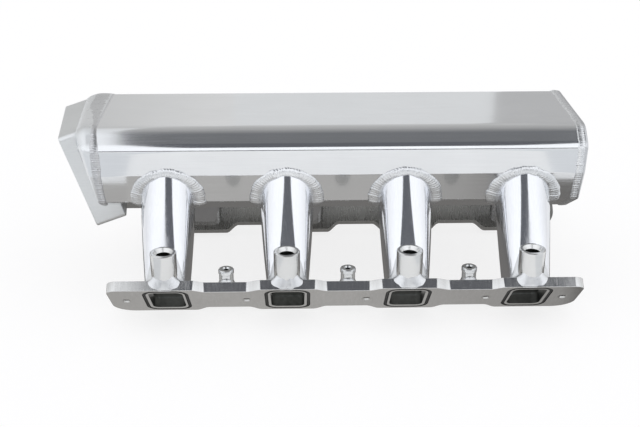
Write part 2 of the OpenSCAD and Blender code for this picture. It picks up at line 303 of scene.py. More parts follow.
def capped_faces(rings, sides):
    """The same with a face across each end."""
    last = rings * sides - 1
    return tube_faces(rings, sides) + [tuple(range(sides)), tuple(range(last, last - sides, -1))]


def paint_shade(obj, material, picks, matrix):
    """Paints shade on the faces for which picks(centre, normal) is true, in mm and in the matrix's frame, by
    giving them a dark material.
    """
    back = (Matrix.Scale(MM, 4) @ matrix).inverted()
    turn = matrix.to_3x3().inverted()
    obj.data.materials.append(material)
    for face in obj.data.polygons:
        if picks(back @ face.center, turn @ face.normal):
            face.material_index = len(obj.data.materials) - 1


def lathe(profile, sides, centre, foot):
    """Points and faces of a turned part. profile is [radius, z] from its foot outside, over the top and
    down the bore; foot(radius) gives the z of the first and last rings round the circle."""
    rings = []
    angles = np.linspace(0, 2 * math.pi, sides, endpoint=False)
    for i, (r, z) in enumerate(profile):
        zs = np.full(sides, float(z))
        if i in (0, len(profile) - 1):
            zs = foot(r)
        rings.append(np.column_stack([centre[0] + r * np.cos(angles), centre[1] + r * np.sin(angles), zs]))
    verts = np.concatenate(rings)
    return verts, tube_faces(len(rings), sides, closed_path=True)


def cutter(centre, axis, profile, sides=64, matrix=None):
    """A turned cutter with its profile as [radius, z], which is removed after its cut."""
    turn = Vector((0, 0, 1)).rotation_difference(Vector(axis)).to_matrix().to_4x4()
    angles = np.linspace(0, 2 * math.pi, sides, endpoint=False)
    ring = np.column_stack([np.cos(angles), np.sin(angles)])
    verts = [(*p, z) for radius, z in profile for p in ring * radius]
    n = len(profile) * sides
    faces = tube_faces(len(profile), sides) + [tuple(range(sides))[::-1], tuple(range(n - sides, n))]
    spot = (matrix or Matrix.Identity(4)) @ Matrix.Translation(centre) @ turn
    return piece("cutter", verts, faces, CUTTER, spot)


def drill(centre, axis, radius, z0, z1, sides=64, matrix=None):
    return cutter(centre, axis, [(radius, z0), (radius, z1)], sides, matrix)


# ---- materials
def node_tree(name):
    material = bpy.data.materials.new(name)
    material.use_nodes = True
    tree = material.node_tree
    tree.nodes.clear()
    shader = tree.nodes.new("ShaderNodeBsdfPrincipled")
    output = tree.nodes.new("ShaderNodeOutputMaterial")
    tree.links.new(shader.outputs["BSDF"], output.inputs["Surface"])
    return material, tree, shader


def add(tree, kind, **inputs):
    made = tree.nodes.new(kind)
    for key, value in inputs.items():
        made.inputs[key.replace("_", " ")].default_value = value
    return made


def stretched_noise(tree, stretch, scale, detail=4.0, roughness=0.55):
    """Noise in object space, stretched along the brushing."""
    place_node = tree.nodes.new("ShaderNodeTexCoord")
    mapping = add(tree, "ShaderNodeMapping", Scale=stretch)
    noise = add(tree, "ShaderNodeTexNoise", Scale=scale, Detail=detail, Roughness=roughness)
    tree.links.new(place_node.outputs["Object"], mapping.inputs["Vector"])
    tree.links.new(mapping.outputs["Vector"], noise.inputs["Vector"])
    return noise.outputs["Fac"]


def ramp(tree, source, low, high, start=0.3, stop=0.7):
    made = add(tree, "ShaderNodeMapRange")
    made.inputs["From Min"].default_value = start
    made.inputs["From Max"].default_value = stop
    made.inputs["To Min"].default_value = low
    made.inputs["To Max"].default_value = high
    tree.links.new(source, made.inputs["Value"])
    return made.outputs["Result"]


def mottled(tree, shader, share, dark, light):
    """Colours the shader between dark and light by the share."""
    colour = tree.nodes.new("ShaderNodeMix")
    colour.data_type = "RGBA"
    colour.inputs["A"].default_value = (*dark, 1)
    colour.inputs["B"].default_value = (*light, 1)
    tree.links.new(share, colour.inputs["Factor"])
    tree.links.new(colour.outputs["Result"], shader.inputs["Base Color"])


def bumped(tree, shader, layers):
    """Lays bumps on each other; a layer is its pattern and its height in mm."""
    normal = None
    for source, height in layers:
        bump = add(tree, "ShaderNodeBump", Strength=1.0, Distance=height * MM)
        tree.links.new(source, bump.inputs["Height"])
        if normal:
            tree.links.new(normal, bump.inputs["Normal"])
        normal = bump.outputs["Normal"]
    tree.links.new(normal, shader.inputs["Normal"])


EVEN = (1, 1, 1)
CLOUD_SCALE, GRAIN_SHARE, CLOUD_SHARE = 14.0, 0.45, 0.55


def metal(name, dark, light, rough, grain, grain_scale, grain_height, wave_height=0.0, wave_scale=9.0,
          spot_height=0.0, spot_scale=900.0):
    """Aluminium. rough is (low, high), grain is the stretch of its brushing, wave is the slow
    unevenness of a sheet and spot is a fine roughness. Heights are in mm."""
    material, tree, shader = node_tree(name)
    shader.inputs["Metallic"].default_value = 1.0
    brushed = stretched_noise(tree, grain, grain_scale)
    cloudy = stretched_noise(tree, EVEN, CLOUD_SCALE, 3.0)
    blend = tree.nodes.new("ShaderNodeMath")
    blend.operation = "ADD"
    tree.links.new(ramp(tree, brushed, 0.0, GRAIN_SHARE), blend.inputs[0])
    tree.links.new(ramp(tree, cloudy, 0.0, CLOUD_SHARE), blend.inputs[1])
    mottled(tree, shader, blend.outputs["Value"], dark, light)
    tree.links.new(ramp(tree, brushed, *rough), shader.inputs["Roughness"])
    layers = [(brushed, grain_height)]
    if wave_height:
        layers.append((stretched_noise(tree, EVEN, wave_scale, 1.0), wave_height))
    if spot_height:
        layers.append((stretched_noise(tree, EVEN, spot_scale, 2.0), spot_height))
    bumped(tree, shader, layers)
    return material


SHEET = metal("plenum_sheet", (0.80, 0.81, 0.82), (0.87, 0.88, 0.89), (0.07, 0.12), (4, 120, 120), 6.0,
              0.004, wave_height=0.16, wave_scale=7.0)
TUBE = metal("polished_tube", (0.82, 0.83, 0.86), (0.90, 0.91, 0.93), (0.08, 0.13), (90, 30, 8), 9.0, 0.002,
             wave_height=0.10, wave_scale=20.0)
FLANGE = metal("machined_flange", (0.66, 0.66, 0.65), (0.78, 0.78, 0.77), (0.10, 0.20), (60, 6, 6), 12.0,
               0.004, wave_height=0.02, wave_scale=30.0)
BLOCK = metal("machined_block", (0.70, 0.715, 0.715), (0.79, 0.80, 0.80), (0.32, 0.42), (6, 60, 60), 12.0,
              0.006)
BUNG = metal("turned_bung", (0.70, 0.70, 0.69), (0.84, 0.84, 0.83), (0.14, 0.22), (6, 6, 160), 9.0, 0.010)
POST = metal("turned_post", (0.66, 0.67, 0.67), (0.80, 0.81, 0.81), (0.12, 0.22), (6, 6, 160), 9.0, 0.008)
WELD = metal("weld_metal", (0.72, 0.73, 0.74), (0.90, 0.91, 0.92), (0.24, 0.36), (30, 30, 30), 14.0, 0.02,
             spot_height=0.03, spot_scale=420.0)
SKIRT = metal("skirt_weld", (0.66, 0.67, 0.68), (0.82, 0.83, 0.84), (0.26, 0.38), (30, 30, 30), 10.0, 0.02,
              spot_height=0.02, spot_scale=300.0)
GROUND = metal("ground_weld", (0.56, 0.56, 0.57), (0.72, 0.73, 0.74), (0.26, 0.38), (40, 60, 60), 10.0,
               0.02, spot_height=0.03, spot_scale=500.0)
WEDGE = metal("blended_wedge", (0.76, 0.78, 0.79), (0.86, 0.87, 0.88), (0.26, 0.36), (20, 20, 20), 8.0, 0.01,
              wave_height=0.2, wave_scale=25.0)
# Painted shade: a dark aluminium for the flanges' back faces, standing in for the shade they lie in.
FLANGE_BACK_SHADE = metal("flange_back_painted_shade", (0.27, 0.265, 0.25), (0.35, 0.345, 0.33), (0.22, 0.34), (60, 6, 6), 12.0,
                    0.01)
# Painted shade: a near-black aluminium for the insides of the runners, the port walls and the injector bores,
# standing in for the shade in them.
BORE_SHADE = metal("bore_painted_shade", (0.06, 0.065, 0.06), (0.14, 0.145, 0.14), (0.30, 0.45), (20, 20, 20), 12.0, 0.02)
CUTTER = bpy.data.materials.new("cutter")


def rubber(name):
    material, tree, shader = node_tree(name)
    shader.inputs["Specular IOR Level"].default_value = 0.35
    grain = stretched_noise(tree, EVEN, 700.0)
    mottled(tree, shader, ramp(tree, grain, 0.0, 1.0), (0.018, 0.018, 0.017), (0.045, 0.044, 0.042))
    tree.links.new(ramp(tree, grain, 0.55, 0.75), shader.inputs["Roughness"])
    bumped(tree, shader, [(grain, 0.03)])
    return material


RUBBER = rubber("seal_rubber")


def done(obj, slot, *replaced):
    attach(obj, "root")
    if replaced:
        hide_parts(*replaced)


# ---- plenum
def ordered(points):
    """Rolls a run of points so that it starts just after its one long gap."""
    pts = np.array(points)
    gaps = np.linalg.norm(np.roll(pts, -1, axis=0) - pts, axis=1)
    return np.roll(pts, -(int(gaps.argmax()) + 1), axis=0)


def seam_cross(line, sign):
    """Where a closed line crosses the seam's height on one side."""
    after = np.roll(line, -1, axis=0)
    for a, b in zip(line, after):
        if a[0] * sign > 0 and (a[1] - seam_z) * (b[1] - seam_z) <= 0 and a[1] != b[1]:
            t = (seam_z - a[1]) / (b[1] - a[1])
            return a + (b - a) * t
    raise ValueError("the section doesn't cross the seam")


def sheet_outline(upper):
    lines = []
    for line in (section_line, section_ring(SHEET_T)):
        run = ordered([p for p in line if (p[1] > seam_z + 1e-6) == upper])
        ends = [seam_cross(line, 1 if upper else -1), seam_cross(line, -1 if upper else 1)]
        lines.append(np.vstack([ends[0], run, ends[1]]))
    return np.vstack([lines[0], lines[1][::-1]])


def bar(name, outline, x0, x1, material):
    """An outline in (y, z) extruded along X."""
    verts = [(x, p[0], p[1]) for x in (x0, x1) for p in outline]
    return piece(name, verts, capped_faces(2, len(outline)), material)


def throttle_matrix():
    """x up the throttle face, y across it, z out of it, at the middle of the face."""
    centre = place("throttle_bolts")
    z = throttle_axis
    y = Vector((0, 0, 1)).cross(z).normalized()
    x = y.cross(z)
    return Matrix.Translation(centre) @ Matrix((x, y, z)).transposed().to_4x4()


def throttle_block(name, material, bevel=0.0):
    outline = rounded(box_corners(THROTTLE_H, THROTTLE_W), THROTTLE_R, 8)
    return prism(name, outline, -THROTTLE_T, 0.0, material, throttle_matrix(), bevel)


runner_foot = np.array([port_y + FLANGE_T * math.sin(face_angle), port_z + FLANGE_T * math.cos(face_angle)])
runner_aim = np.array([-AIM_HALF, plenum_top - AIM_DROP])
runner_len = float(np.linalg.norm(runner_aim - runner_foot))
runner_dir = (runner_aim - runner_foot) / runner_len


def build_plenum():
    mouth_axis = Vector((0, runner_dir[0], runner_dir[1]))
    for name, upper in (("plenum_upper", True), ("plenum_floor", False)):
        sheet = bar(name + "_sheet", sheet_outline(upper), plenum_x0, plenum_x1, SHEET)
        cutters = [throttle_block("cutter", CUTTER)]
        for bank in (0, 1):
            for x in port_x:
                cutters.append(drill((x, *runner_foot), mouth_axis, RUNNER_D / 2 - RUNNER_WALL,
                                     runner_len / 2, runner_len * MOUTH_REACH, 64, bank_matrix(bank)))
        cut(sheet, *cutters)
        done(sheet, "plenum_sheet", name)


build_plenum()


# ---- ends of the plenum
def end_plane_x(y, z):
    """X of the end plate's leaning outer face."""
    lean, yaw = math.radians(END_PLATE_LEAN), math.radians(THROTTLE_YAW)
    normal = Matrix.Rotation(yaw, 3, "Z") @ Vector((-math.cos(lean), 0, -math.sin(lean)))
    middle = Vector((plenum_x0 - END_PLATE_T, 0, place("throttle_bolts").z))
    return middle.x - (normal.y * (y - middle.y) + normal.z * (z - middle.z)) / normal.x


def end_piece(name, x, line, reach, radius, steps, material, flat=False):
    """A solid on the sheets' end at x, whose outer face is reach away from it, with a round rim."""
    rings = [np.column_stack([np.full(len(line), x), line])]
    for k in range(steps + 1):
        a = math.pi / 2 * k / steps
        out = x + reach - np.sign(reach) * radius * (1 - math.sin(a))
        rings.append(np.column_stack([out, line - section_normals * (radius * (1 - math.cos(a)))[:, None]]))
    return piece(name, np.concatenate(rings), capped_faces(len(rings), len(line)), material, flat=flat)


def build_front_end():
    """The wedge between the sheets and the throttle block, with its rim ground round, and the block."""
    line = section_ring(-END_PROUD)
    reach = np.array([end_plane_x(*p) - plenum_x0 for p in line])
    radius = np.minimum(END_RIM_R, -reach * END_RIM_SHARE)
    plate = end_piece("front_end_wedge", plenum_x0, line, reach, radius, 10, WEDGE)
    way = drill(place("throttle_bolts"), throttle_axis, THROTTLE_BORE / 2 + 1, -2 * THROTTLE_T, 1, 96)
    cut(plate, throttle_block("cutter", CUTTER), way)
    done(plate, "plenum_sheet", "front_end_plate")

    block = throttle_block("throttle_block", BLOCK, THROTTLE_EDGE)
    holes = [drill(place("throttle_bolts"), throttle_axis, THROTTLE_BORE / 2, -2 * THROTTLE_T, 1, 128)]
    radius = MOUNT["throttle_bolts"]["dims"]["pcd_mm"] / 2
    for k in range(4):
        a = math.pi / 4 + k * math.pi / 2
        spot = throttle_matrix() @ Vector((radius * math.cos(a), radius * math.sin(a), 0))
        holes.append(drill(spot, throttle_axis, THROTTLE_TAP_D / 2, -THROTTLE_TAP_DEPTH, 1, 32))
    cut(block, *holes)
    done(block, "machined_block", "throttle_flange")


def build_rear_end():
    """The flat cap on the other end, its outer rim eased."""
    line = section_ring(-CAP_PROUD)
    reach, radius = np.full(len(line), CAP_T), np.full(len(line), CAP_EASE)
    cap = end_piece("rear_end_plate", plenum_x1, line, reach, radius, 6, GROUND, flat=True)
    done(cap, "plenum_sheet", "rear_end_cap")


build_front_end()
build_rear_end()


# ---- head flanges and seals
def corner_arc(centre, r, a0, a1, steps=14):
    return [(centre[0] + r * math.cos(a), centre[1] + r * math.sin(a))
            for a in np.radians(np.linspace(a0, a1, steps + 1))]


def scalloped(web, pad, steps=16):
    """A flange edge that is wide at each port and narrow between ports."""
    out = []
    for i in range(len(port_x) - 1):
        for side in (0, 1):
            for k in range(steps + 1):
                t = k / steps
                start = port_x[i] + PAD_HALF if side == 0 else port_x[i + 1] - PAD_HALF - PAD_BLEND
                rise = (1 + math.cos(math.pi * t)) / 2
                out.append((start + PAD_BLEND * t, web + (pad - web) * (rise if side == 0 else 1 - rise)))
    return out


def flange_outline():
    lower = -PAD_DOWN + LOWER_CORNER_R
    upper = PAD_UP - UPPER_CORNER_R
    return (corner_arc((-FLANGE_LEAD + LOWER_CORNER_R, lower), LOWER_CORNER_R, 180, 270)
            + scalloped(-WEB_DOWN, -PAD_DOWN)
            + corner_arc((FLANGE_TAIL - LOWER_CORNER_R, lower), LOWER_CORNER_R, 270, 360)
            + corner_arc((FLANGE_TAIL - UPPER_CORNER_R, upper), UPPER_CORNER_R, 0, 90)
            + scalloped(WEB_UP, PAD_UP)[::-1]
            + corner_arc((-FLANGE_LEAD + UPPER_CORNER_R, upper), UPPER_CORNER_R, 90, 180))


def port_line(grow, steps=10):
    return rounded(box_corners(PORT_W + 2 * grow, PORT_H + 2 * grow), PORT_R + grow, steps)


def build_flange(bank, side):
    matrix = bank_matrix(bank) @ on_face
    flange = prism(f"head_flange_{side}_plate", flange_outline(), -FLANGE_T, 0, FLANGE, matrix, FLANGE_EDGE)
    tools = []
    for x in port_x:
        levels = [(0, -FLANGE_T - 1), (0, -PORT_CHAMFER), (2 * PORT_CHAMFER, PORT_CHAMFER)]
        tools.append(stack("cutter", [(port_line(grow) + (x, 0), z) for grow, z in levels], CUTTER, matrix))
        inner, outer = (port_line(grow) + (x, 0) for grow in (SEAL_LAND, SEAL_LAND + GROOVE_W))
        levels = [(outer, 1), (outer, -GROOVE_DEPTH), (inner, -GROOVE_DEPTH), (inner, 1)]
        tools.append(stack("cutter", levels, CUTTER, matrix, hollow=True))
    for x in bolt_x:
        r, c = BOLT_D / 2, BOLT_CHAMFER
        tools.append(cutter((x, 0, 0), (0, 0, 1), [(r, -FLANGE_T - 1), (r, -c), (r + 2 * c, c)], 48, matrix))
    cut(flange, *tools)

    def in_port(c, n):
        near = min(abs(c.x - x) for x in port_x) < PORT_W / 2 + 0.1 and abs(c.y) < PORT_H / 2 + 0.1
        return near and abs(n.z) < 0.1 and c.z < -PORT_CHAMFER

    # Painted shade: the back face and the port walls get the dark materials in place of their shade.
    paint_shade(flange, FLANGE_BACK_SHADE, lambda c, n: n.z < -0.95, matrix)
    paint_shade(flange, BORE_SHADE, in_port, matrix)
    done(flange, "machined_flange", f"head_flange_{side}")
    return flange


def build_seals(bank, side):
    """Moulded rubber rings with a rounded crown, all four of a bank in one piece."""
    verts, faces = [], []
    r = (GROOVE_W - 2 * SEAL_GAP) / 2
    crown = [(r * math.sin(a), -r + r * math.cos(a)) for a in np.linspace(-math.pi / 2, math.pi / 2, 9)]
    profile = [(-r, -GROOVE_DEPTH), *crown, (r, -GROOVE_DEPTH)]
    for x in port_x:
        rings = [port_line(SEAL_LAND + GROOVE_W / 2 + off) for off, _ in profile]
        n = len(rings[0])
        first = len(verts)
        for ring, (_, z) in zip(rings, profile):
            verts += [(p[0] + x, p[1], z) for p in ring]
        faces += [tuple(first + v for v in f) for f in tube_faces(len(profile), n, closed_path=True)]
    seals = piece(f"port_seals_{side}_rubber", verts, faces, RUBBER, bank_matrix(bank) @ on_face, sharp=50)
    done(seals, "seal_rubber", f"port_seals_{side}")


# ---- runners
CORNER_COLUMNS, FLAT_COLUMNS = 14, 10
FLAT_TURN = math.radians(14)
RUNNER_ROWS = 28
EASE = 1.6             # how early the port's shape gives way to the circle
RUNNER_SUNK = 0.3


def runner_columns(wall):
    """Foot points on the flange and head points on the circle, matched column by column.
    The flats of the port run out in narrow stretches of the circle."""
    foot2 = []
    angle = []
    w, h, r = PORT_W + 2 * wall, PORT_H + 2 * wall, PORT_R + wall
    quarter = math.pi / 2

    def on_corner(q, a):
        sx, sy = ((1, 1), (-1, 1), (-1, -1), (1, -1))[q % 4]
        return np.array([sx * (w / 2 - r), sy * (h / 2 - r)]) + r * np.array([math.cos(a), math.sin(a)])

    for q in range(4):
        for k in range(CORNER_COLUMNS + 1):
            foot2.append(on_corner(q, q * quarter + quarter * k / CORNER_COLUMNS))
            angle.append(q * quarter + FLAT_TURN / 2 + (quarter - FLAT_TURN) * k / CORNER_COLUMNS)
        here, after = foot2[-1], on_corner(q + 1, (q + 1) * quarter)
        for k in range(1, FLAT_COLUMNS):
            foot2.append(here + (after - here) * k / FLAT_COLUMNS)
            angle.append((q + 1) * quarter - FLAT_TURN / 2 + FLAT_TURN * k / FLAT_COLUMNS)
    foot2, angle = np.array(foot2), np.array(angle)
    foot = np.array([on_face @ Vector((p[0], p[1], -FLANGE_T)) for p in foot2])
    radius = RUNNER_D / 2 - RUNNER_WALL + wall
    up = np.array([0.0, -runner_dir[1], runner_dir[0]])      # across the runner, out of the valley and up
    head_centre = np.array([0.0, *runner_aim])
    along = np.array([1.0, 0.0, 0.0])
    head = head_centre + radius * (np.cos(angle)[:, None] * along + np.sin(angle)[:, None] * up)
    return foot, head


def runner_points(foot, head, t):
    """Points at the shares t of the columns' lengths; the section eases from the port to the circle."""
    foot_centre, head_centre = np.array([0.0, *runner_foot]), np.array([0.0, *runner_aim])
    centre = foot_centre + (head_centre - foot_centre) * t[:, None]
    e = (1 - np.clip(1 - t, 0, 1) ** EASE)[:, None]
    return centre + (foot - foot_centre) * (1 - e) + (head - head_centre) * e


def runner_ends(foot, head, sunk):
    """The shares at which the columns are sunk that deep in the plenum, found by halving."""
    low, high = np.full(len(foot), 0.3), np.full(len(foot), 1.4)
    for _ in range(40):
        mid = (low + high) / 2
        p = runner_points(foot, head, mid)
        outside = section_depth(p[:, 1], p[:, 2])[0] > -sunk
        low, high = np.where(outside, mid, low), np.where(outside, high, mid)
    return (low + high) / 2


def build_runner(bank, number, x):
    matrix = bank_matrix(bank) @ Matrix.Translation((x, 0, 0))
    skins = []
    for wall in (RUNNER_WALL, 0.0):
        foot, head = runner_columns(wall)
        ends = runner_ends(foot, head, RUNNER_SUNK)
        skins.append([runner_points(foot, head, ends * j / RUNNER_ROWS) for j in range(RUNNER_ROWS + 1)])
    rings = skins[0] + skins[1][::-1]
    n = len(rings[0])
    faces = tube_faces(len(rings), n, closed_path=True)
    runner = piece(f"runner_{number}_tube", np.concatenate(rings), faces, TUBE, matrix)
    spray = drill((x, bung_y, 0), (0, 0, 1), BUNG_SPRAY_D / 2, port_z, bung_top, 32, bank_matrix(bank))

    def inward(c, normal):
        start, way = Vector((0, *runner_foot)), Vector((0, *runner_dir))
        off = c - start
        return normal.dot(off - way * off.dot(way)) < 0

    # Painted shade: the runner's inner faces get the near-black bore material in place of their shade.
    paint_shade(runner, BORE_SHADE, inward, matrix)
    cut(runner, spray, sharp=40, flat=False)
    done(runner, "polished_tube", f"runner_{number}")
    return runner


# ---- welds
def resampled(points, step, closed=True):
    """A path at even spacing, with the distance along it and its length."""
    loop = np.vstack([points, points[:1]]) if closed else np.array(points)
    length = np.concatenate([[0], np.cumsum(np.linalg.norm(np.diff(loop, axis=0), axis=1))])
    s = np.linspace(0, length[-1], max(8, int(round(length[-1] / step))), endpoint=not closed)
    return np.column_stack([np.interp(s, length, loop[:, k]) for k in range(3)]), s, length[-1]


def smoothed(values, passes):
    for _ in range(passes):
        values = (np.roll(values, 1, axis=0) + 2 * values + np.roll(values, -1, axis=0)) / 4
    return values


def unit(v):
    return v / np.maximum(np.linalg.norm(v, axis=1, keepdims=True), 1e-9)


PATH_STEP = 0.4
BEAD_STEPS, BEAD_STEADY = 12, 5.0      # only this much of a broad leg takes part in the ragged edge
DAB_LIFT, DAB_WIDTH, DAB_BOW = 0.12, 0.10, 0.55      # how dabs differ, and how far their fronts bow
BEAD_ROOT = 0.8
TUBE_LEG, TUBE_LEG_FLANK = 3.4, 0.8
TOE_HEIGHTS = [-0.25, 0.05, 0.2, 0.3, 0.3, 0.25, 0.2, 0.15]

# The front bead's leg on the wedge, its growth over the top from one Y on, and what it loses low down;
# then its leg on the sheet and what that loses on top.
WEDGE_LEG, WEDGE_GROWTH, GROWTH_Y, GROWTH_RUN, WEDGE_LOSS = 3.5, 12.5, -50.0, 70.0, 1.4
SHEET_LEG, SHEET_LOSS = 5.0, 3.4


def weld_rings(path, s, total, a, b, out, wide_a, wide_b, crown, pitch, ripple, rng):
    """Cross-sections of a weld bead. a and b lead from the joint along the two surfaces and out leads
    away from both; every dab of filler leaves a scallop, so the bead rises and falls along the path."""
    count = max(3, round(total / pitch))
    across = np.linspace(0, 1, BEAD_STEPS + 1)
    rings = np.zeros((len(path), len(across) + 1, 3))
    lift = rng.normal(0, DAB_LIFT, count)
    widen = smoothed(rng.normal(0, DAB_WIDTH, count), 1)
    for k, u in enumerate(across):
        bow = math.sin(math.pi * u)
        phase = s / total * count + DAB_BOW * (1 - (2 * u - 1) ** 2)
        index = np.floor(phase).astype(int) % count
        f = phase - np.floor(phase)
        scallop = np.sqrt(np.maximum(0, 1 - (1.0 - 1.9 * np.minimum(f, 1 - f) ** 0.8) ** 2))
        height = crown * (1 + lift[index]) * bow ** 0.8 + ripple * (scallop - 0.6) * bow ** 0.35
        ragged = widen[index] + 0.05 * (scallop - 0.5)
        c, d = math.cos(math.pi * u / 2) ** 1.3, math.sin(math.pi * u / 2) ** 1.3
        reach_a, reach_b = (wide + ragged * np.minimum(wide, BEAD_STEADY) for wide in (wide_a, wide_b))
        rings[:, k] = path + a * (reach_a * c)[:, None] + b * (reach_b * d)[:, None] + out * height[:, None]
    rings[:, -1] = path - out * BEAD_ROOT
    return rings


def weld_piece(name, rings, matrix, slot="plenum_sheet", material=None, closed=True):
    n, m = rings.shape[:2]
    faces = tube_faces(n, m, closed_path=True) if closed else capped_faces(n, m)
    done(piece(name, rings.reshape(-1, 3), faces, material or WELD, matrix, sharp=70), slot)


def build_runner_weld(bank, number, x, rng):
    foot, head = runner_columns(RUNNER_WALL)
    ends = runner_ends(foot, head, 0.0)
    joint = runner_points(foot, head, ends)
    path, s, total = resampled(joint, PATH_STEP)
    below, _, _ = resampled(runner_points(foot, head, ends - 0.05), 1.0)
    nearest = np.array([np.argmin(np.linalg.norm(below - p, axis=1)) for p in path])
    b = unit(smoothed(below[nearest] - path, 12))
    tangent = unit(np.roll(path, -3, axis=0) - np.roll(path, 3, axis=0))
    _, n2 = section_depth(path[:, 1], path[:, 2])
    n1 = unit(smoothed(np.column_stack([np.zeros(len(path)), n2]), 14))
    away = unit(path - path.mean(axis=0))
    a = unit(np.cross(n1, tangent))
    a *= np.sign(np.einsum("ij,ij->i", a, away))[:, None]
    side = unit(np.cross(b, tangent))
    side *= np.sign(np.einsum("ij,ij->i", side, away))[:, None]
    out = unit(smoothed(n1 + side, 6))
    flank = np.abs(away[:, 0]) ** 1.5
    rings = weld_rings(path, s, total, a, b, out, RUNNER_LEG + RUNNER_FLANK * flank,
                       TUBE_LEG - TUBE_LEG_FLANK * flank, 0.7, RIPPLE_PITCH, 0.42, rng)
    # The toe follows the plenum's outside: its first point lies just in it and the next ones stay above.
    toe_steps = len(TOE_HEIGHTS)
    toe = rings[:, :toe_steps].reshape(-1, 3)
    depth, normal = section_depth(toe[:, 1], toe[:, 2])
    floor = np.tile(np.array(TOE_HEIGHTS), len(rings))
    first = np.tile(np.arange(toe_steps), len(rings)) == 0
    toe[:, 1:] += normal * np.where(first, floor - depth, np.maximum(0, floor - depth))[:, None]
    rings[:, :toe_steps] = toe.reshape(-1, toe_steps, 3)
    weld_piece(f"runner_{number}_weld", rings, bank_matrix(bank) @ Matrix.Translation((x, 0, 0)))


def section_path(x):
    """The plenum's outline at one station, evenly spaced, with its outward normals."""
    points = np.column_stack([np.full(len(section_line), x), section_line])
    path, s, total = resampled(points, PATH_STEP)
    _, normal = section_depth(path[:, 1], path[:, 2])
    return path, s, total, unit(smoothed(np.column_stack([np.zeros(len(path)), normal]), 6))


def build_end_welds(rng):
    """Beads round both ends of the sheets; the front one is broad on the far side of the top."""
    along = np.array([1.0, 0.0, 0.0])
    path, s, total, out = section_path(plenum_x0)
    y, z = path[:, 1], path[:, 2]
    share = np.clip((y - GROWTH_Y) / GROWTH_RUN, 0, 1)
    on_top = np.clip((z - (plenum_top - RIDGE_DROP)) / RIDGE_DROP, 0, 1)
    broad = WEDGE_LEG + WEDGE_GROWTH * share ** 2 * (3 - 2 * share) * on_top
    low = np.clip((plenum_top - SIDE_DROP - z) / (SEAM_DROP - SIDE_DROP), 0, 1)
    broad = smoothed(broad - WEDGE_LOSS * low, 20)
    onto = smoothed(SHEET_LEG - SHEET_LOSS * on_top, 20)
    rings = weld_rings(path, s, total, np.tile(-along, (len(path), 1)), np.tile(along, (len(path), 1)), out,
                       broad, onto, 1.0 - 0.25 * on_top, RIPPLE_PITCH, 0.9 - 0.8 * on_top, rng)
    weld_piece("front_end_weld", rings, Matrix.Identity(4), material=GROUND)
    path, s, total, out = section_path(plenum_x1)
    rings = weld_rings(path, s, total, np.tile(along, (len(path), 1)), np.tile(-along, (len(path), 1)), out,
                       np.full(len(path), 2.6), np.full(len(path), 4.2), 0.8, RIPPLE_PITCH, 0.5, rng)
    weld_piece("rear_end_weld", rings, Matrix.Identity(4))


def build_seam_welds(bank, rng):
    """Short beads along the joint of the upper sheet and the floor, between the runners."""
    low, high = sorted((1 - 2 * bank) * (x - bank_mid[bank]) for x in (plenum_x0, plenum_x1))
    stops = [low + 1] + [x + side * SEAM_CLEAR for x in port_x for side in (-1, 1)] + [high - 1]
    spot = seam_cross(section_line, -1)
    _, normals = section_depth([spot[0]], [spot[1]])
    up = np.array([0.0, SEAM_HALF - SIDE_HALF, SEAM_DROP - SIDE_DROP])
    down = np.array([0.0, SEAM_HALF - BOTTOM_HALF, SEAM_DROP - PLENUM_DEPTH])
    out = np.array([0.0, *(normals[0])])
    for i in range(0, len(stops), 2):
        if stops[i + 1] - stops[i] < SEAM_SHORTEST:
            continue
        ends = [(stops[i], *spot), (stops[i + 1], *spot)]
        path, s, total = resampled(ends, PATH_STEP, closed=False)
        n = len(path)
        a, b = (np.tile(unit(way[None]), (n, 1)) for way in (up, down))
        leg = np.full(n, 2.6)
        rings = weld_rings(path, s, total, a, b, np.tile(out, (n, 1)), leg, leg, 0.9, RIPPLE_PITCH, 0.4, rng)
        weld_piece(f"seam_weld_{bank * 5 + i // 2 + 1}", rings, bank_matrix(bank), closed=False)


def surface_under(trees, x, y, top):
    """Height in mm of the highest surface below a point, in the bank's frame."""
    hits = [tree.ray_cast(Vector((x, y, top)), Vector((0, 0, -1)))[0] for tree in trees]
    return max((hit.z for hit in hits if hit), default=None)


def bank_tree(obj, matrix):
    """A search tree of an object's faces in a bank's own frame, in mm."""
    back = (Matrix.Scale(MM, 4) @ matrix).inverted()
    verts = [back @ v.co for v in obj.data.vertices]
    return BVHTree.FromPolygons(verts, [tuple(p.vertices) for p in obj.data.polygons])


def foot_heights(trees, centre, radius, sides, top):
    angles = np.linspace(0, 2 * math.pi, sides, endpoint=False)
    spots = [(centre[0] + radius * math.cos(a), centre[1] + radius * math.sin(a)) for a in angles]
    z = [surface_under(trees, x, y, top) for x, y in spots]
    known = [v for v in z if v is not None]
    return np.array([min(known) if v is None else v for v in z])


SKIRT_STEPS = 10
SKIRT_INSIDE, SKIRT_TOE, SKIRT_THICK, SKIRT_CLEAR = 0.3, 0.35, 1.2, 1.2      # clear of the part's top


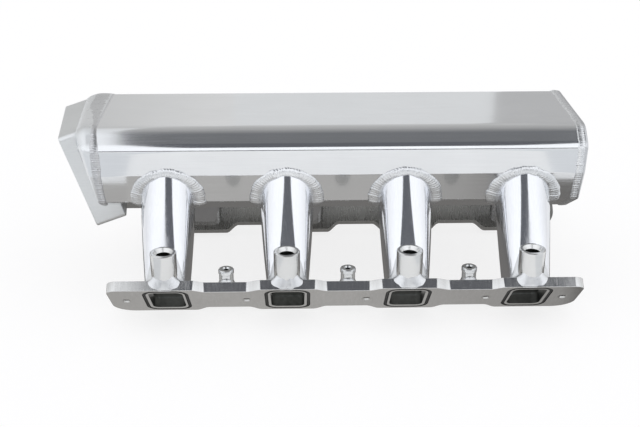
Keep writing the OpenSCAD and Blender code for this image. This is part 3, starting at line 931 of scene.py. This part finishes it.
def skirt(trees, centre, radius, spread, height, sides, top, rng, lowest_y):
    """Weld metal round the foot of a turned part: it clings to the part and runs out on what is below.
    It is pressed together where it would pass lowest_y."""
    angles = np.linspace(0, 2 * math.pi, sides, endpoint=False)
    rings = []
    wobble = smoothed(rng.normal(0, 1.0, sides), 4)
    facing = np.maximum(0, -np.sin(angles))
    for k in range(SKIRT_STEPS + 1):
        share = k / SKIRT_STEPS
        ring = []
        for i, a in enumerate(angles):
            r = radius - SKIRT_INSIDE + (spread(a) * (1 + 0.15 * wobble[i]) + SKIRT_INSIDE) * share
            x, y = centre[0] + r * math.cos(a), centre[1] + r * math.sin(a)
            if y < lowest_y:
                y = lowest_y + 0.1 * (y - lowest_y)
            z = surface_under(trees, x, y, top)
            ring.append([x, y, np.nan if z is None else z])
        ring = np.array(ring)
        known = ~np.isnan(ring[:, 2])
        ring[~known, 2] = ring[known, 2].min()
        rings.append(ring)
    rings = np.array(rings)
    for ring in rings:
        ring[:, 2] = smoothed(ring[:, 2], 3)
    base = rings.copy()
    tall = np.array([height(a) for a in angles])
    for k in range(SKIRT_STEPS + 1):
        share = k / SKIRT_STEPS
        fall = (1 - share) ** (1.8 - 0.9 * facing)
        rings[k, :, 2] += tall * fall * (1 + 0.1 * wobble) - SKIRT_TOE * share
    rings[:, :, 2] = np.minimum(rings[:, :, 2], top - SKIRT_CLEAR)
    base[:, :, 2] -= SKIRT_THICK
    shell = np.concatenate([rings, base[::-1]])
    return shell.transpose(1, 0, 2)


def build_bung(bank, number, x, trees, rng):
    matrix = bank_matrix(bank)
    centre = (x, bung_y)
    sides = 96
    r, bore, spray = BUNG_D / 2, BUNG_BORE / 2, BUNG_SPRAY_D / 2
    outer_foot = smoothed(foot_heights(trees, centre, r, sides, bung_top), 1) - FOOT_SUNK
    pocket = bung_top - BUNG_POCKET
    inner_foot = np.minimum(foot_heights(trees, centre, spray + 0.6, sides, bung_top) - FOOT_SUNK, pocket - 1)
    c = BUNG_CHAMFER
    profile = [(r, 0), (r, bung_top - c), (r - 0.15, bung_top - c * 0.45), (r - c, bung_top),
               (bore + BUNG_LEAD, bung_top), (bore, bung_top - BUNG_LEAD_DEPTH), (bore, pocket + 1.2),
               (bore - 0.3, pocket + 0.2), (spray, pocket - 0.6), (spray, 0)]

    def foot(radius):
        return outer_foot if radius == r else inner_foot

    verts, faces = lathe(profile, sides, centre, foot)
    bung = piece(f"injector_bung_{number}_turned", verts, faces, BUNG, matrix, sharp=25)
    # Painted shade: the injector bore gets the near-black bore material in place of its shade.
    paint_shade(bung, BORE_SHADE, lambda c, n: math.hypot(c.x - x, c.y - bung_y) < bore + 0.1, matrix)
    done(bung, "turned_bung", f"injector_bung_{number}")

    def spread(a):
        behind = max(0.0, math.sin(a))
        return 2.0 + 5.2 * abs(math.cos(a)) ** 2 * (1 - behind) ** 2 + 0.25 * math.cos(11 * a + number)

    def height(a):
        return 2.0 + 6.2 * max(0.0, -math.sin(a)) ** 1.2

    front_edge = port_y - PAD_UP * math.cos(face_angle) + 0.5
    shell = skirt(trees, centre, r, spread, height, sides, bung_top, rng, front_edge)
    weld_piece(f"injector_bung_{number}_weld", shell, matrix, "turned_bung", SKIRT)


def build_post(bank, number, x, trees, rng):
    matrix = bank_matrix(bank)
    centre = (x, post_y)
    sides = 64
    r, waist, foot_r, tap = POST_D / 2, POST_WAIST_D / 2, POST_FOOT_D / 2, POST_TAP_D / 2
    low = foot_heights(trees, centre, foot_r, sides, post_top) - FOOT_SUNK
    waist_z = post_top - POST_COLLAR - (r - waist)
    foot_z = port_z + post_rise_over_port + POST_FOOT_H
    c = POST_CHAMFER
    profile = [(foot_r, 0), (foot_r, foot_z), (waist, foot_z + POST_TAPER_H), (waist, waist_z),
               (r, post_top - POST_COLLAR), (r, post_top - c), (r - c * 0.2, post_top - c * 0.5),
               (r - c, post_top), (tap + POST_LEAD, post_top), (tap, post_top - POST_LEAD),
               (tap, post_top - POST_TAP_DEPTH), (0.05, post_top - POST_TAP_DEPTH - DRILL_POINT),
               (0.05, float(low.min()) + 0.5)]

    def foot(radius):
        return low if radius == foot_r else np.full(sides, float(low.min()) + 0.2)

    verts, faces = lathe(profile, sides, centre, foot)
    post = piece(f"rail_post_{number}_turned", verts, faces, POST, matrix, sharp=25)
    done(post, "turned_post", f"rail_post_{number}")
    front_edge = port_y + FLANGE_T * math.sin(face_angle) - WEB_UP * math.cos(face_angle)
    shell = skirt(trees, centre, foot_r, lambda a: 1.8, lambda a: 3.2, sides, post_top, rng, front_edge)
    weld_piece(f"rail_post_{number}_weld", shell, matrix, "turned_post", SKIRT)


build_end_welds(np.random.default_rng(SEED + 2))
for bank, side in enumerate(("front", "rear")):
    rng = np.random.default_rng(SEED + bank)
    build_seam_welds(bank, rng)
    flange = build_flange(bank, side)
    build_seals(bank, side)
    flange_tree = bank_tree(flange, bank_matrix(bank))
    for i, x in enumerate(port_x):
        number = bank * 4 + i + 1
        runner = build_runner(bank, number, x)
        build_runner_weld(bank, number, x, rng)
        build_bung(bank, number, x, [flange_tree, bank_tree(runner, bank_matrix(bank))], rng)
    for i, x in enumerate(post_x):
        build_post(bank, bank * 3 + i + 1, x, [flange_tree], rng)


# ---- stage, light and camera
def plain(name, colour, glow=None):
    """A matt stage material; glow is the light that it gives off by itself."""
    material, tree, shader = node_tree(name)
    shader.inputs["Base Color"].default_value = (*colour, 1)
    shader.inputs["Roughness"].default_value = 0.8
    shader.inputs["Specular IOR Level"].default_value = 0.0
    if glow:
        shader.inputs["Emission Color"].default_value = (*glow, 1)
        shader.inputs["Emission Strength"].default_value = 1.0
    return material


def fading(name, axis, stops):
    """A stage material that glows by itself; stops give its colours at distances in mm along an axis."""
    material, tree, shader = node_tree(name)
    shader.inputs["Base Color"].default_value = (*BLACK, 1)
    shader.inputs["Specular IOR Level"].default_value = 0.0
    shader.inputs["Emission Strength"].default_value = 1.0
    first, last = stops[0][0], stops[-1][0]
    where = tree.nodes.new("ShaderNodeTexCoord")
    split = tree.nodes.new("ShaderNodeSeparateXYZ")
    tree.links.new(where.outputs["Object"], split.inputs["Vector"])
    share = ramp(tree, split.outputs[axis], 0.0, 1.0, first * MM, last * MM)
    blend = tree.nodes.new("ShaderNodeValToRGB")
    marks = blend.color_ramp.elements
    marks[0].color, marks[1].color = (*stops[0][1], 1), (*stops[-1][1], 1)
    for spot, colour in stops[1:-1]:
        marks.new((spot - first) / (last - first)).color = (*colour, 1)
    tree.links.new(share, blend.inputs["Fac"])
    tree.links.new(blend.outputs["Color"], shader.inputs["Emission Color"])
    return material


def grey(level, warm=0.0):
    return (level * (1 + warm), level, level * (1 - warm))


def card(name, corners, material):
    """A flat stage card between four corners in mm, seen only in reflections."""
    obj = piece(name, corners, [(0, 1, 2, 3)], material)
    obj.visible_camera = False
    obj.visible_shadow = False
    obj.visible_diffuse = False
    return obj


def level(x0, x1, y0, y1, z):
    return [(x0, y0, z), (x1, y0, z), (x1, y1, z), (x0, y1, z)]


def upright(x0, x1, y, z0, z1):
    return [(x0, y, z0), (x1, y, z0), (x1, y, z1), (x0, y, z1)]


FLOOR_HALF = 6000.0
TABLE_Z, SHADE_Z, MIRRORED_Z = -0.2, -0.3, -0.4
SHADE_X0, SHADE_X1 = -300, 330
BACKDROP_Y, BACKDROP_LOW, BACKDROP_HIGH = 2500, 100, 3500
BLACK = (0.0, 0.0, 0.0)
DIM = (0.125, 0.13, 0.145)


def build_tables():
    """The table is white where the camera sees it, and an ordinary pale one in reflections."""
    floor = (-FLOOR_HALF, FLOOR_HALF, -FLOOR_HALF, FLOOR_HALF)
    white = plain("white_table", (0.24, 0.235, 0.235), (0.775, 0.775, 0.775))
    table = card("table", level(*floor, TABLE_Z), white)
    table.visible_camera = True
    table.visible_glossy = False
    pale = plain("pale_table", (0.97, 0.965, 0.955))
    mirrored = card("table_in_reflections", level(*floor, MIRRORED_Z), pale)
    mirrored.visible_diffuse = True


def build_low_cards():
    """Shades under the plenum, the light that the front flange throws up, and paler floor at both ends."""
    front = [(SHADE_X0, grey(0.42, 0.02)), (0, grey(0.43, 0.02)), (180, grey(0.34, 0.02)),
             (228, grey(0.30, 0.02)), (245, grey(0.17, 0.03)), (SHADE_X1, grey(0.15, 0.03))]
    rear = [(SHADE_X0, grey(0.15, 0.03)), (SHADE_X1, grey(0.16, 0.03))]
    card("shade_front", level(SHADE_X0, SHADE_X1, -127, -40, SHADE_Z), fading("front_shade", "X", front))
    card("shade_rear", level(SHADE_X0, SHADE_X1, -40, 140, SHADE_Z), fading("rear_shade", "X", rear))
    low, high, off = -PAD_DOWN, WEB_UP - 1, -FLANGE_T - 1.5
    ends = (-FLANGE_LEAD, FLANGE_TAIL)
    slope = [(x, low, off) for x in ends] + [(x, high, off) for x in ends[::-1]]
    matrix = bank_matrix(0) @ on_face
    bounce = [(-220, grey(0.46, 0.02)), (60, grey(0.44, 0.02)), (150, grey(0.33, 0.02)),
              (235, grey(0.19, 0.03))]
    card("bounce_card", [matrix @ Vector(p) for p in slope], fading("bounce", "X", bounce))
    for name, x0, x1 in (("left", -2000, -222), ("right", 268, 2000)):
        pale = plain(f"{name}_floor", grey(0.80, -0.015))
        card(f"{name}_floor_card", level(x0, x1, -900, -140, SHADE_Z), pale)


def build_high_cards():
    """A dim ceiling that brightens towards the back, and what stands behind and before the object."""
    ceiling = [(-3000, DIM), (-700, DIM), (-300, (0.19, 0.195, 0.205)), (600, grey(0.42)), (3000, grey(0.68))]
    card("ceiling_card", level(-505, 850, -3000, 3000, 2000), fading("ceiling_fade", "Y", ceiling))
    card("horizon_card", upright(-3000, 3000, -2600, -40, 330), plain("dark_ceiling", BLACK, DIM))
    card("backdrop_right", upright(650, 4000, BACKDROP_Y, BACKDROP_LOW, BACKDROP_HIGH),
         plain("right_backdrop", BLACK, (0.51, 0.51, 0.515)))
    left = [(-4000, grey(0.60)), (-700, grey(0.62)), (-250, grey(0.74))]
    card("backdrop_left", upright(-4000, -250, BACKDROP_Y, BACKDROP_LOW, BACKDROP_HIGH),
         fading("left_backdrop", "X", left))


def build_world():
    """Soft light from all round, brighter from the front."""
    world = bpy.data.worlds.new("studio")
    bpy.context.scene.world = world
    world.use_nodes = True
    tree = world.node_tree
    background = tree.nodes["Background"]
    direction = tree.nodes.new("ShaderNodeTexCoord")
    split = tree.nodes.new("ShaderNodeSeparateXYZ")
    tree.links.new(direction.outputs["Generated"], split.inputs["Vector"])
    fade = tree.nodes.new("ShaderNodeValToRGB")
    front, back = fade.color_ramp.elements
    front.position, front.color = 0.25, (1.12, 1.14, 1.18, 1)
    back.position, back.color = 0.80, (0.74, 0.75, 0.76, 1)
    shift = tree.nodes.new("ShaderNodeMapRange")
    shift.inputs["From Min"].default_value = -1.0
    tree.links.new(split.outputs["Y"], shift.inputs["Value"])
    tree.links.new(shift.outputs["Result"], fade.inputs["Fac"])
    tree.links.new(fade.outputs["Color"], background.inputs["Color"])
    background.inputs["Strength"].default_value = 1.0


SENSOR, LENS = 36.0, 59.43
CAMERA_SPOT = (-22.0, -979.9, 492.6)
CAMERA_YAW, CAMERA_PITCH, CAMERA_ROLL = 1.12, 23.76, -0.07      # degrees, the pitch downwards


def build_camera():
    data = bpy.data.cameras.new("camera")
    data.sensor_width = SENSOR
    data.lens = LENS
    camera = bpy.data.objects.new("camera", data)
    bpy.context.scene.collection.objects.link(camera)
    yaw, pitch, roll = (math.radians(v) for v in (CAMERA_YAW, CAMERA_PITCH, CAMERA_ROLL))
    forward = Vector((math.sin(yaw) * math.cos(pitch), math.cos(yaw) * math.cos(pitch), -math.sin(pitch)))
    across = Vector((math.cos(yaw), -math.sin(yaw), 0))
    above = across.cross(forward)
    right = across * math.cos(roll) + above * math.sin(roll)
    up = above * math.cos(roll) - across * math.sin(roll)
    turn = Matrix((right, up, -forward)).transposed().to_4x4()
    camera.matrix_world = Matrix.Translation(Vector(CAMERA_SPOT) * MM) @ turn
    bpy.context.scene.camera = camera


build_tables()
build_low_cards()
build_high_cards()
build_world()
build_camera()
bpy.context.scene.view_settings.view_transform = "Standard"
